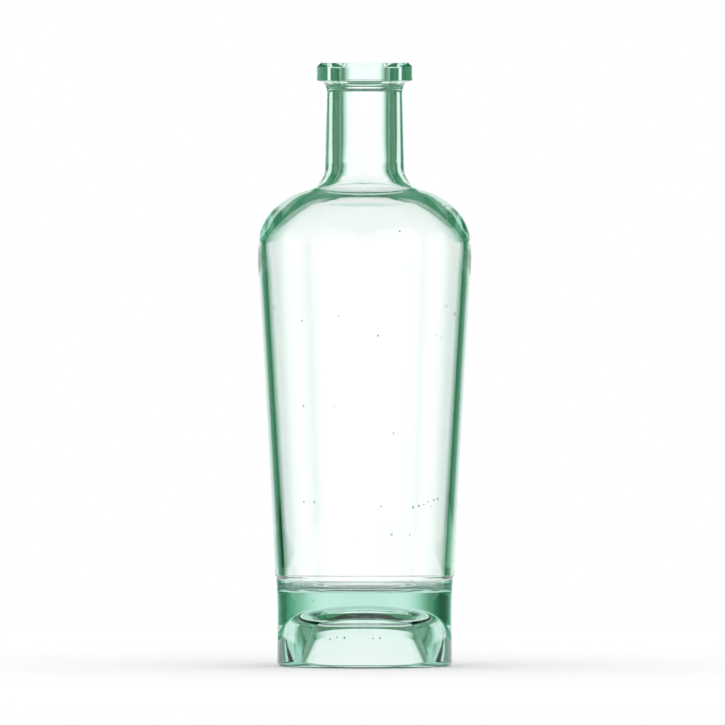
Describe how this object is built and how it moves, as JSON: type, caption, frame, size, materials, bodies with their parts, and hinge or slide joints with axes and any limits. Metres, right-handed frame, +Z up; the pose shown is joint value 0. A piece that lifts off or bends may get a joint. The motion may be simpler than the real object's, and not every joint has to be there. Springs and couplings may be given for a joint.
{
  "type": "glass bottle",
  "caption": "Empty open half-litre bottle of clear pale green glass: tapered round body, domed shoulder, slim neck with banded lip, thick base with a deep punt.",
  "frame": {"origin": "centre of the foot, at the level the bottle stands on", "axes": "+Z up the bottle's axis to the mouth; the bottle is round, so +X and +Y are alike"},
  "size_m": [0.0808, 0.0808, 0.2281],
  "materials": {
    "glass": "clear polished glass, pale sea green where it is thick"
  },
  "bodies": {
    "root": {"bottle": "glass"}
  },
  "joints": []
}
